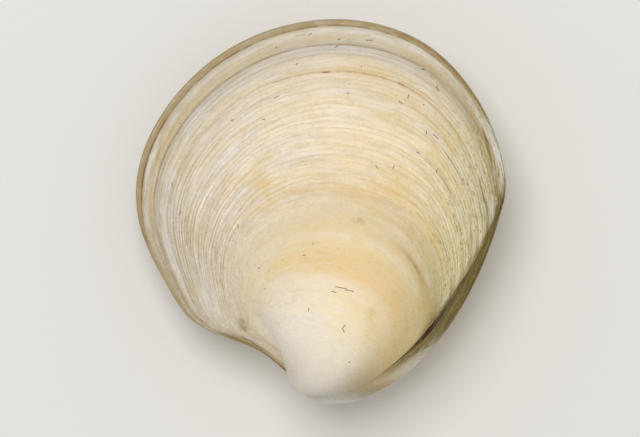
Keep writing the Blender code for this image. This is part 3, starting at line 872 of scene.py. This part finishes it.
def growth_tree():
    """Builds the tree that grows a closed half shell from today's margin.

    The grid's first row is a point inside the margin, so that it makes the flat side, and the last row
    closes the beak. Each other row is one former margin.
    """
    sockets = {
        "Int": ("Columns", "Rows"),
        "Float": (
            "Row step", "Spread row", "Spread", "Hinge slope", "Tip per age", "Early tip", "Tip limit",
            "Turn per age", "Early turn", "Valve gap", "Side", "Ridge pitch", "Late ridge pitch",
            "Ridge depth", "Swell depth", "Rear roughness", "Inset", "Seed", "Drop", "Map low", "Map high",
        ),
        "Vector": ("Centre", "Shrink centre", "Shrink", "Rest place", "Rest turn"),
    }
    tree, given = new_tree("Growth of a valve", sockets)
    add = partial(add_node, tree)
    rings = add(PLUS, (given["Rows"], 1.0))
    grid, at = numbered_grid(tree, given["Columns"], rings)
    around = at["across"]

    # Age of a row: even steps near today's margin, and longer and longer ones towards the beak
    long_rows = add(MINUS, (at["ring"], given["Spread row"]))
    long_rows = add(MATH, (long_rows, 0.0), operation="MAXIMUM")
    spread = add(MATH, (long_rows, 2.0), operation="POWER")
    spread = add(TIMES, (spread, given["Spread"]))
    age = add(TIMES_PLUS, (at["ring"], given["Row step"], spread))

    # Today's margin at this column, or the point that closes the row's ring
    margin = point_at(tree, given, at["column"], 0.0)
    start = add(MIX, (at["closing"], margin, given["Centre"]), data_type="VECTOR")

    # The growth rule: turned so that the hinge line is X, tipped up about it, turned to its heading, shrunk
    size = add(TIMES, (age, -1.0))
    size = add(MATH, (size,), operation="EXPONENT")
    early = add(MINUS, (1.0, size))
    tip = add(TIMES, (given["Early tip"], early))
    tip = add(TIMES_PLUS, (given["Tip per age"], age, tip))
    tip = add(MATH, (tip, given["Tip limit"]), operation="MINIMUM")
    turn = add(TIMES, (given["Early turn"], early))
    turn = add(TIMES_PLUS, (given["Turn per age"], age, turn))
    heading = add(MINUS, (given["Hinge slope"], turn))
    back = add(TIMES, (given["Hinge slope"], -1.0))
    level = add(ROTATE, {"Vector": start, "Angle": back}, rotation_type="Z_AXIS")
    parts = add("ShaderNodeSeparateXYZ", (level,)).outputs
    across = add(MATH, (parts["Y"], 0.0), operation="MAXIMUM")
    level = add(XYZ, (parts["X"], across, 0.0))
    tipped = add(ROTATE, {"Vector": level, "Angle": tip}, rotation_type="X_AXIS")
    turned = add(ROTATE, {"Vector": tipped, "Angle": heading}, rotation_type="Z_AXIS")
    shrunk = add(VECTORS, (turned, size), operation="SCALE")
    half_gap = add(TIMES, (given["Valve gap"], 0.5))
    whole = add(VECTORS, (shrunk, add(XYZ, (0.0, 0.0, half_gap))), operation="ADD")

    # The room inside is the same shape, shrunk towards a point and lowered
    apart = add(VECTORS, (whole, given["Shrink centre"]), operation="SUBTRACT")
    drop = add(XYZ, (0.0, 0.0, given["Drop"]))
    drop = add(VECTORS, (given["Shrink centre"], drop), operation="SUBTRACT")
    inner = add(VECTORS, (apart, given["Shrink"], drop), operation="MULTIPLY_ADD")
    mirror = add(XYZ, (1.0, 1.0, given["Side"]))
    sided = add(VECTORS, (inner, mirror), operation="MULTIPLY")
    skin = add("GeometryNodeSetPosition", {"Geometry": grid, "Position": sided})

    # Growth lines lie closer to the margin on the front flank than the rule has them
    front = add(RANGE, (around, *SLOW_FRONT, 0.0, 1.0))
    bent = add(MATH, (front, 2.0), operation="POWER")
    share = add(TIMES_PLUS, (bent, -SLOW_SHARE, 1.0))
    slow = add(OVER, (age, share))
    late = add(TIMES_PLUS, (bent, SLOW_AGE, age))
    line_age = add(MATH, (slow, late), operation="MINIMUM")

    # Ridges are counted by age, from the halt nearest to the margin, and stray a little from an even count
    on_skin = add(XYZ, (around, line_age, given["Seed"]))
    young = add(MINUS, (line_age, FIRST_RIDGE_AGE))
    young = add(OVER, (young, given["Late ridge pitch"]))
    old = add(MINUS, (line_age, LATE_RIDGES_END))
    old = add(OVER, (old, given["Ridge pitch"]))
    change = add(OVER, (LATE_RIDGES_END - FIRST_RIDGE_AGE, given["Late ridge pitch"]))
    old = add(PLUS, (old, change))
    count = add(MATH, (young, old), operation="MINIMUM")
    for waves, ridges in RIDGE_STRAYS:
        stray = add(MINUS, (drawn_out(tree, on_skin, waves, 2.0), 0.5))
        count = add(TIMES_PLUS, (stray, ridges, count))

    # Round crests and narrow grooves, of another depth from ridge to ridge and along each
    off = add(MINUS, (add(MATH, (count,), operation="FRACT"), 0.5))
    off = add(MATH, (off,), operation="ABSOLUTE")
    off = add(TIMES, (off, 2.0))
    groove = add(MATH, (off, GROOVE_POWER), operation="POWER")
    on_ridge = add(XYZ, (around, add(MATH, (count,), operation="ROUND"), given["Seed"]))
    uneven = add(RANGE, (drawn_out(tree, on_ridge, GROOVE_WAVES, 3.0), *GROOVE_SPREAD))
    half_age = add(TIMES, (line_age, 0.5))
    by_age = add(CURVE, {"Value": half_age}, points=RIDGES_BY_HALF_AGE)
    by_place = add(CURVE, {"Value": around}, points=RIDGES_BY_PLACE)
    strength = add(TIMES, (by_age, by_place))
    strength = add(TIMES, (strength, uneven))
    groove = add(TIMES, (groove, strength))
    relief = add(TIMES, (groove, given["Ridge depth"]))

    # Halts in growth are narrow furrows
    for halt_age, width, depth in HALTS:
        away = add(MINUS, (line_age, halt_age))
        away = add(OVER, (away, width))
        bell = add(TIMES, (away, away))
        bell = add(TIMES, (bell, -1.0))
        bell = add(MATH, (bell,), operation="EXPONENT")
        relief = add(TIMES_PLUS, (bell, depth * MM, relief))

    # Broad swells along the growth lines, a crumbly rear, a lip that thins to the margin, and the inset
    swell = drawn_out(tree, on_skin, SWELL_WAVES, 3.0, 0.55)
    relief = add(TIMES_PLUS, (swell, given["Swell depth"], relief))
    crumbs = drawn_out(tree, on_skin, CRUMB_WAVES, 3.0, 0.6)
    crumbs = add(TIMES, (crumbs, add(CURVE, {"Value": around}, points=CRUMBS_BY_PLACE)))
    crumbs = add(TIMES, (crumbs, add(RANGE, (line_age, *CRUMBS_BY_AGE))))
    relief = add(TIMES_PLUS, (crumbs, given["Rear roughness"], relief))
    lip = add(RANGE, (line_age, 0.0, *LIP, 0.0), interpolation_type="SMOOTHSTEP")
    relief = add(PLUS, (relief, lip))
    relief = add(PLUS, (relief, given["Inset"]))

    # No relief where the valves touch behind the beaks, at the beak itself, or on the flat side
    shown = add(RANGE, (across, 0.0, CALM_HINGE, 0.0, 1.0), interpolation_type="SMOOTHSTEP")
    from_middle = add(MINUS, (around, 0.5))
    from_middle = add(MATH, (from_middle,), operation="ABSOLUTE")
    shown = add(TIMES, (shown, add(RANGE, (from_middle, *CALM_BEAK, 0.0, 1.0))))
    shown = add(TIMES, (shown, add(MINUS, (1.0, at["closing"]))))
    relief = add(TIMES, (relief, shown))

    # Kept on the mesh: what the paint follows, and the relief, which is carved once the normals point out
    kept = {"age": line_age, "around": around, "groove": groove, "ridge": count, "relief": relief}
    for label, value in kept.items():
        skin = add(KEEP, {"Geometry": skin, "Name": label, "Value": value}, **ON_POINTS)
    map_down = add(RANGE, (at["down"], 0.0, 1.0, given["Map low"], given["Map high"]))
    joined = closed_up(tree, skin, around, map_down)
    left = add(MATH, (given["Side"], 0.0), operation="LESS_THAN")
    outward = add("GeometryNodeFlipFaces", {"Mesh": joined, "Selection": left})
    depth = add(RECALL, {"Name": "relief"}, data_type="FLOAT")
    inward = add(TIMES, (depth, -1.0))
    carve = add(VECTORS, (add("GeometryNodeInputNormal"), inward), operation="SCALE")
    carved = add("GeometryNodeSetPosition", {"Geometry": outward, "Offset": carve})
    return laid_to_rest(tree, given, carved)


def ligament_tree():
    """Builds the tree that makes the ligament: rings along its path, flattened between the valves."""
    sockets = {
        "Int": ("Rings", "Sides"), "Float": ("Half width", "Half depth", "End", "Grow", "Fibre depth"),
        "Vector": ("Rest place", "Rest turn"),
    }
    tree, given = new_tree("Ligament", sockets)
    add = partial(add_node, tree)
    grid, at = numbered_grid(tree, given["Sides"], given["Rings"])

    # The path at this ring, the way along it, and the way across it
    middle, ahead, behind = (point_at(tree, given, at["ring"], step) for step in (0.0, 1.0, -1.0))
    forward = add(VECTORS, (ahead, behind), operation="SUBTRACT")
    forward = add(VECTORS, (forward,), operation="NORMALIZE")
    sideways = add(VECTORS, ((0.0, 0.0, 1.0), forward), operation="CROSS_PRODUCT")

    # Rounded to both ends, and stranded
    along = add(RANGE, (at["row"], 1.0, given["Rings"], -1.0, 1.0))
    round_end = add(TIMES, (along, along))
    round_end = add(MINUS, (1.0, round_end))
    round_end = add(MATH, (round_end,), operation="SQRT")
    fullness = add(RANGE, (round_end, 0.0, 1.0, given["End"], 1.0))
    turn = add(TIMES, (at["across"], 2.0 * math.pi))
    cosine, sine = (add(MATH, (turn,), operation=wave) for wave in ("COSINE", "SINE"))
    spread = add(VECTORS, (add(XYZ, (cosine, sine, along)), STRAND_WAVES), operation="MULTIPLY")
    strands = add(NOISE, {"Vector": spread, "Scale": STRAND_SCALE, "Detail": 3.0})
    wear = add(TIMES, (strands, given["Fibre depth"]))
    spare = add(MINUS, (given["Grow"], wear))

    # How far a point lies from the path sideways, up, and out of its ends
    open_skin = add(MINUS, (1.0, at["closing"]))
    reaches = []
    for half, wave in ((given["Half depth"], cosine), (given["Half width"], sine)):
        full = add(TIMES_PLUS, (half, fullness, spare))
        wave = add(TIMES, (wave, open_skin))
        reaches.append(add(TIMES, (full, wave)))
    end = add(MINUS, (at["last"], at["first"]))
    past_end = add(TIMES_PLUS, (given["Half depth"], LIGAMENT_TIP, given["Grow"]))
    past_end = add(TIMES, (end, past_end))
    spot = middle
    for way in (
        add(VECTORS, (sideways, reaches[0]), operation="SCALE"), add(XYZ, (0.0, 0.0, reaches[1])),
        add(VECTORS, (forward, past_end), operation="SCALE"),
    ):
        spot = add(VECTORS, (spot, way), operation="ADD")
    skin = add("GeometryNodeSetPosition", {"Geometry": grid, "Position": spot})
    return laid_to_rest(tree, given, closed_up(tree, skin, at["across"], at["down"]))


def fibre_tree():
    """Builds the tree that bends a short thread on each point, turned and sized as the point says."""
    tree, given = new_tree("Fibres", {"Float": ("Radius",)})
    add = partial(add_node, tree)
    ends = {"Start": (-0.5, 0.0, 0.0), "Middle": (0.0, 1.0, 0.0), "End": (0.5, 0.0, 0.0)}
    bow = add("GeometryNodeCurveQuadraticBezier", {"Resolution": 6, **ends})
    turn, size = (add(RECALL, {"Name": label}, data_type="FLOAT_VECTOR") for label in ("turn", "size"))
    points = add("GeometryNodeMeshToPoints", {"Mesh": given["Geometry"], "Radius": given["Radius"]})
    laid = {"Points": points, "Instance": bow, "Rotation": turn, "Scale": size}
    threads = add("GeometryNodeRealizeInstances", (add("GeometryNodeInstanceOnPoints", laid),))
    circle = add("GeometryNodeCurvePrimitiveCircle", {"Resolution": 5, "Radius": given["Radius"]})
    solid = {"Curve": threads, "Profile Curve": circle, "Fill Caps": True}
    return finish_tree(tree, given, add("GeometryNodeCurveToMesh", solid))


def new_material(name):
    """Starts a material, and returns it with its tree."""
    material = bpy.data.materials.new(name)
    material.use_nodes = True
    return material, material.node_tree


def finish_material(tree, paint, dull, height, strength, distance):
    """Gives a material its colour and its roughness, and a bump that is this high in metres."""
    shader = tree.nodes["Principled BSDF"]
    shader.inputs["Specular IOR Level"].default_value = GLOSS
    bump = add_node(tree, "ShaderNodeBump", {"Strength": strength, "Distance": distance, "Height": height})
    for name, node in (("Base Color", paint), ("Roughness", dull), ("Normal", bump)):
        tree.links.new(result(node), shader.inputs[name])


def shell_material(name, colours):
    """Aragonite shell, as grown: chalky to satin cream, darker where grooves hold silt and painted shade,
    glossier umbo, with painted shade and a painted highlight from some marks.
    """
    material, tree = new_material(name)
    add = partial(add_node, tree)
    age, around, groove, ridge, pale = (
        add(ATTRIBUTE, attribute_name=label).outputs["Fac"]
        for label in ("age", "around", "groove", "ridge", "pale")
    )
    place = {
        "skin": add(XYZ, (around, age, 0.0)),
        "ridge": add(XYZ, (around, ridge, 0.0)),
        "object": add("ShaderNodeTexCoord").outputs["Object"],
    }
    half_age = add(TIMES, (age, 0.5))
    shades = {key: (*getattr(colours, key), 1.0) for key in (*PIGMENTS, "groove")}

    # Ground colour by age, for the middle of the valve, its rear flank and its front flank
    rearward = add(RANGE, (around, *REAR_FLANK, 0.0, 1.0), interpolation_type="SMOOTHSTEP")
    forward = add(CURVE, {"Value": around}, points=FRONT_BY_PLACE)
    paint = add(RAMP, (half_age,), stops=MIDDLE_GROUND)
    for stops, share in ((REAR_GROUND, rearward), (FRONT_GROUND, forward)):
        paint = add(MIXED, (share, paint, add(RAMP, (half_age,), stops=stops)))

    # Lighter and darker bands, lines and grains, strongest on the flanks. Those that follow the ridges fade
    # out on the smooth umbo, and what is darker is yellower too.
    flanks = add(CURVE, {"Value": around}, points=TONE_BY_PLACE)
    ridged = add(RANGE, (age, *RIDGED_BY_AGE))
    grained = add(TIMES_PLUS, (ridged, 0.5, 0.5))
    tone = 0.0
    for follows, waves, detail, amount in TONES:
        swing = add(MINUS, (drawn_out(tree, place[follows], waves, detail, 0.6), 0.5))
        swing = add(TIMES, (swing, grained if follows == "object" else ridged))
        tone = add(TIMES_PLUS, (swing, amount, tone))
    # The pale marks lighten the shell; on the umbo that is a painted bluish-white highlight
    pale = add(TIMES, (pale, PALE_TONE))
    tone = add(TIMES_PLUS, (tone, flanks, pale))
    tint = add(VECTORS, (forward, FRONT_TINT, TONE_TINT), operation="MULTIPLY_ADD")
    tint = add(VECTORS, (tone, tint, (1.0, 1.0, 1.0)), operation="MULTIPLY_ADD")
    paint = add(MIXED, (1.0, paint, tint), blend_type="MULTIPLY")

    # Warmer and cooler clouds
    clouds = add(RAMP, (drawn_out(tree, place["skin"], CLOUD_WAVES, 4.0, 0.6),), stops=CLOUDS)
    paint = add(MIXED, (grained, paint, clouds), blend_type="MULTIPLY")

    # Silt and painted shade in the grooves between ridges, olive and patchy towards the rear and grey towards
    # the front
    film = add(RANGE, (drawn_out(tree, place["skin"], FILM_WAVES, 4.0, 0.65), *FILM_SPREAD))
    film = add(TIMES, (film, rearward))
    silt_and_shade = add(MIXED, (film, shades["groove"], shades["olive"]))
    greyer = add(TIMES, (forward, FRONT_GREY))
    silt_and_shade = add(MIXED, (greyer, silt_and_shade, shades["grey"]))
    hold = add(TIMES_PLUS, (film, FILM_COVER, SILT_AND_SHADE_COVER))
    hold = add(TIMES, (hold, flanks))
    hold = add(TIMES, (groove, hold), use_clamp=True)
    paint = add(MIXED, (hold, paint, silt_and_shade))

    # Brown skin in long lines beside the hinge, worn off the older shell
    for edge, worn, waves, stops in HINGE_SKINS:
        skin = add(RAMP, (drawn_out(tree, place["skin"], waves, 4.0, 0.6),), stops=stops)
        cover = add(RANGE, (around, *edge), interpolation_type="SMOOTHSTEP")
        cover = add(TIMES, (cover, add(RANGE, (age, *worn))))
        paint = add(MIXED, (cover, paint, skin))

    # Pigments, each broken up by its own pattern; some of their marks are painted shade, as noted at the
    # marks
    for pigment, (_, _, waves, least) in PIGMENTS.items():
        amount = add(ATTRIBUTE, attribute_name=pigment).outputs["Fac"]
        pattern = drawn_out(tree, place["skin"], waves, 5.0, 0.65)
        pattern = add(RANGE, (pattern, *PIGMENT_SPREAD, least, PIGMENT_MOST))
        cover = add(TIMES, (amount, pattern), use_clamp=True)
        paint = add(MIXED, (cover, paint, shades[pigment]))

    # Short strokes of growth and crumbs along the growth lines, thickest on the rough rear flank
    spots = add(CURVE, {"Value": around}, points=STROKES_BY_PLACE)
    spots = add(TIMES, (spots, ridged))
    for pigment, waves, low, high, strength in STROKES:
        stroke = add(RANGE, (drawn_out(tree, place["skin"], waves, 3.0, 0.55), low, high, 0.0, strength))
        stroke = add(TIMES, (stroke, spots))
        paint = add(MIXED, (stroke, paint, shades[pigment]))

    # Sparse brown specks over the whole valve, a twentieth to a fifth of a millimetre across
    for cells_per_metre, none, reach, strength in SPECKS:
        cells = {"Vector": place["object"], "Scale": cells_per_metre}
        cells = add("ShaderNodeTexVoronoi", cells, feature="F1").outputs
        chance = add("ShaderNodeSeparateColor", (cells["Color"],)).outputs
        some = add(MATH, (chance["Red"], none), operation="GREATER_THAN")
        size = add(TIMES, (chance["Green"], reach))
        speck = add(RANGE, (cells["Distance"], 0.0, size, strength, 0.0))
        speck = add(TIMES, (speck, some))
        paint = add(MIXED, (speck, paint, shades["umber"]))

    # Satin umbo and chalkier ridges, with fine growth lines and a grain about a fifth of a millimetre across
    grain = {"Vector": place["object"], "Scale": GRAINS_PER_METRE, "Detail": 3.0, "Roughness": 0.6}
    grain = add(NOISE, grain)
    dull = add(TIMES_PLUS, (grain, GRAIN_ROUGHNESS, add(RANGE, (age, *ROUGHNESS_BY_AGE))))
    lines = drawn_out(tree, place["skin"], LINE_WAVES, 3.0, 0.6)
    height = add(TIMES_PLUS, (lines, LINE_SHARE, grain))
    finish_material(tree, paint, dull, height, GRAIN_BUMP, GRAIN_HEIGHT)
    return material


def streaked_material(name, light, dark, waves, roughness, turn=0.0):
    """A two-coloured material with soft streaks, drawn out along one direction by its waves per metre."""
    material, tree = new_material(name)
    add = partial(add_node, tree)
    here = add("ShaderNodeTexCoord").outputs["Object"]
    along = add(ROTATE, {"Vector": here, "Angle": turn}, rotation_type="Z_AXIS")
    streaks = drawn_out(tree, along, waves, 4.0, 0.6)
    paint = add(RAMP, (streaks,), stops=list(zip(STREAK_ENDS, (dark, light))))
    dull = add(TIMES_PLUS, (streaks, STREAK_ROUGHNESS, roughness - 0.5 * STREAK_ROUGHNESS))
    finish_material(tree, paint, dull, streaks, STREAK_BUMP, STREAK_HEIGHT)
    return material


def known_places(mesh):
    """Returns how far round and how old the shell is at each point of a valve."""
    known = []
    for label in ("around", "age"):
        values = np.zeros(len(mesh.vertices), np.float32)
        mesh.attributes[label].data.foreach_get("value", values)
        known.append(values)
    return known


def stain(mesh, soft, crisp):
    """Keeps on a valve how strong each pigment is at each point, from its marks."""
    around, age = known_places(mesh)
    for pigment in (*PIGMENTS, "pale"):
        total = np.zeros(len(around), np.float32)
        for edge, paths in ((SOFT, soft.get(pigment, ())), (CRISP, crisp.get(pigment, ()))):
            for path in paths:
                places, ages, widths, strengths = (np.array(path) / MARK_UNITS).T
                strength = np.interp(around, places, strengths, left=0.0, right=0.0)
                off = (age - np.interp(around, places, ages)) / np.interp(around, places, widths)
                off = np.minimum(np.abs(off), MARK_END)
                total = np.maximum(total, strength * np.exp(-off**edge))
        mesh.attributes.new(pigment, "FLOAT", "POINT").data.foreach_set("value", total.astype(np.float32))


def own_settings(group):
    """Returns the names of a property group's settings."""
    return [name for name in group.bl_rna.properties.keys() if name not in ("rna_type", "name")]


def values_of(group):
    """Returns a property group's values by the names shown on the panel, which the trees use too."""
    values = {}
    for name in own_settings(group):
        value = getattr(group, name)
        label = group.bl_rna.properties[name].name
        values[label] = value if isinstance(value, (int, float)) else tuple(value)
    return values


class CLAM_OT_valves(bpy.types.Operator):
    """Grow both valves, hollow them and cut the ligament's groove"""

    bl_idname = "clam.valves"
    bl_label = "Grow Valves"
    bl_options = {"REGISTER", "UNDO"}

    def execute(self, context):
        scene = context.scene
        growth = values_of(scene.clam_growth)
        tree = growth_tree()
        spindle = ligament_tree()
        shell = shell_material("aragonite_shell", scene.clam_colours)
        # Smooth inner shell: nearly white, with cream clouds a few millimetres across and a soft gloss
        inside = streaked_material("porcelain_inside", "#F2EFE8", "#E6DECF", (180.0, 180.0, 180.0), 0.3)
        spread = {
            "Spread row": growth["Rows"] * (1.0 - SPREAD_SHARE),
            "Spread": SPREAD_AGE / (growth["Rows"] * SPREAD_SHARE) ** 2,
        }
        skin_values = growth | values_of(scene.clam_sculpture) | SKIN | spread | {"Material": shell}
        room_values = skin_values | ROOM | {"Material": inside}
        slot_values = growth | SLOT | {"Material": shell}
        for node, side, soft, crisp in (
            ("right_valve", 1.0, RIGHT_SOFT, RIGHT_CRISP), ("left_valve", -1.0, LEFT_SOFT, LEFT_CRISP),
        ):
            sided = {"Side": side, "Seed": SEED * side}
            valve, room = (
                grow(node + ending, margin_outline(values["Columns"]), tree, values | sided)
                for ending, values in (("_look", skin_values), ("_room", room_values))
            )
            slot = grow(node + "_slot", smooth_path(LIGAMENT_SHOWS, SLOT["Rings"]), spindle, slot_values)
            valve = cut_away(node + "_skin", valve, (room, slot))
            clean_cut(valve.data)
            stain(valve.data, soft, crisp)
            valve.data.set_sharp_from_angle(angle=SHARP_ANGLE)
            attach(valve, "root")
            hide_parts(node)
        return {"FINISHED"}


class CLAM_OT_ligament(bpy.types.Operator):
    """Make the ligament between the valves, behind the beaks"""

    bl_idname = "clam.ligament"
    bl_label = "Make Ligament"
    bl_options = {"REGISTER", "UNDO"}

    def execute(self, context):
        # Dried ligament: dark red-brown horn with a soft gloss, in strands that run along it
        strands = (250.0, 2600.0, 2600.0)
        turn = math.radians(-40.0)
        horn = streaked_material("conchiolin_ligament", "#6E3A16", "#301806", strands, 0.45, turn)
        path = smooth_path(LIGAMENT_PATH, LIGAMENT["Rings"])
        values = values_of(context.scene.clam_growth) | LIGAMENT | {"Material": horn}
        ligament = grow("ligament_look", path, ligament_tree(), values)
        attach(ligament, "root")
        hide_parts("ligament")
        return {"FINISHED"}


class CLAM_OT_fibres(bpy.types.Operator):
    """Lay the dark fibres and crumbs that cling to the upper valve"""

    bl_idname = "clam.fibres"
    bl_label = "Lay Fibres"
    bl_options = {"REGISTER", "UNDO"}

    def execute(self, context):
        valve = bpy.data.objects["right_valve_skin"].data
        around, age = known_places(valve)
        spots, turns, sizes = [], [], []
        for place, old, heading, length, bend in FIBRES:
            near = np.argmin((around - place) ** 2 * AROUND_WEIGHT + (age - old) ** 2)
            vertex = valve.vertices[int(near)]
            up = vertex.normal
            ahead = Vector((math.cos(math.radians(heading)), math.sin(math.radians(heading)), 0.0))
            ahead = (ahead - up * ahead.dot(up)).normalized()
            spots.append(vertex.co + up * FIBRE_RADIUS)
            turns.append(Matrix((ahead, up.cross(ahead), up)).transposed().to_euler())
            sizes.append((length * MM, bend * length * MM, length * MM))
        seed = bpy.data.meshes.new("fibre_seed")
        seed.from_pydata([tuple(spot) for spot in spots], [], [])
        for label, values in (("turn", turns), ("size", sizes)):
            kept = seed.attributes.new(label, "FLOAT_VECTOR", "POINT")
            kept.data.foreach_set("vector", [number for value in values for number in value])
        # Matted hairs and grit: nearly black brown, dull
        hair = streaked_material("matted_fibre", "#6E5C45", "#403525", (3000.0, 3000.0, 3000.0), 0.8)
        values = {"Radius": FIBRE_RADIUS, "Material": hair}
        thing = run_tree("caught_fibres", seed, fibre_tree(), values)
        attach(thing, "root")
        return {"FINISHED"}


class CLAM_OT_stage(bpy.types.Operator):
    """Set the plain floor, soft lamps and the camera"""

    bl_idname = "clam.stage"
    bl_label = "Set Stage"
    bl_options = {"REGISTER", "UNDO"}

    def execute(self, context):
        scene = context.scene
        studio = scene.clam_studio
        floor_shade = (*studio.floor_colour, 1.0)
        scene.view_settings.view_transform = "Standard"

        # Matt card: one even, light colour that takes a soft shadow
        card, tree = new_material("matt_card")
        for name, value in (("Base Color", floor_shade), ("Roughness", CARD_ROUGHNESS)):
            tree.nodes["Principled BSDF"].inputs[name].default_value = value
        mesh = bpy.data.meshes.new("floor")
        corners = [(FLOOR_REACH * x, FLOOR_REACH * y, 0.0) for x, y in ((-1, -1), (1, -1), (1, 1), (-1, 1))]
        mesh.from_pydata(corners, [], [(0, 1, 2, 3)])
        mesh.materials.append(card)
        floor = bpy.data.objects.new("floor", mesh)
        scene.collection.objects.link(floor)

        # Even light at the fill level, and the plain backdrop where a view or a gloss looks past the floor
        world = bpy.data.worlds.new("soft_room")
        world.use_nodes = True
        tree = world.node_tree
        add = partial(add_node, tree)
        look = add("ShaderNodeLightPath").outputs
        seen = add(MATH, (look["Is Camera Ray"], look["Is Glossy Ray"]), operation="MAXIMUM")
        seen = add(MATH, (seen, look["Is Transmission Ray"]), operation="MAXIMUM")
        level = add(RANGE, (seen, 0.0, 1.0, studio.fill_level, 1.0))
        shade = add(MIXED, (seen, (1.0, 1.0, 1.0, 1.0), floor_shade))
        for name, node in (("Strength", level), ("Color", shade)):
            tree.links.new(result(node), tree.nodes["Background"].inputs[name])
        scene.world = world

        lamp = bpy.data.lights.new("key", "AREA")
        lamp.shape = "DISK"
        lamp.size = LAMP_SIZE
        lamp.energy = studio.key_power
        key = bpy.data.objects.new("key", lamp)
        key.location = LAMP_PLACE
        key.rotation_euler = (-key.location).to_track_quat("-Z", "Y").to_euler()
        scene.collection.objects.link(key)

        lens = bpy.data.cameras.new("camera")
        lens.sensor_width = FILM_WIDTH
        lens.lens = FILM_WIDTH * (studio.camera_height - EDGE_HEIGHT) / studio.view_width
        camera = bpy.data.objects.new("camera", lens)
        camera.location = (*studio.view_centre, studio.camera_height)
        scene.collection.objects.link(camera)
        scene.camera = camera
        return {"FINISHED"}


class CLAM_PT_panel(bpy.types.Panel):
    bl_label = "Clam Shell"
    bl_idname = "CLAM_PT_panel"
    bl_space_type = "VIEW_3D"
    bl_region_type = "UI"
    bl_category = "Clam Shell"

    def draw(self, context):
        for group in (getattr(context.scene, name) for name in SETTINGS):
            for name in own_settings(group):
                self.layout.prop(group, name)
        for operator in OPERATORS:
            self.layout.operator(operator.bl_idname)


SETTINGS = {
    "clam_growth": ClamGrowth, "clam_sculpture": ClamSculpture, "clam_colours": ClamColours,
    "clam_studio": ClamStudio,
}
OPERATORS = (CLAM_OT_valves, CLAM_OT_ligament, CLAM_OT_fibres, CLAM_OT_stage)


def register():
    for group in SETTINGS.values():
        bpy.utils.register_class(group)
    for name, group in SETTINGS.items():
        setattr(bpy.types.Scene, name, PointerProperty(type=group))
    for operator in OPERATORS:
        bpy.utils.register_class(operator)
    bpy.utils.register_class(CLAM_PT_panel)


def unregister():
    bpy.utils.unregister_class(CLAM_PT_panel)
    for operator in OPERATORS:
        bpy.utils.unregister_class(operator)
    for name, group in SETTINGS.items():
        delattr(bpy.types.Scene, name)
        bpy.utils.unregister_class(group)


def main():
    register()
    bpy.ops.clam.valves()
    bpy.ops.clam.ligament()
    bpy.ops.clam.fibres()
    bpy.ops.clam.stage()


if __name__ == "__main__":
    main()
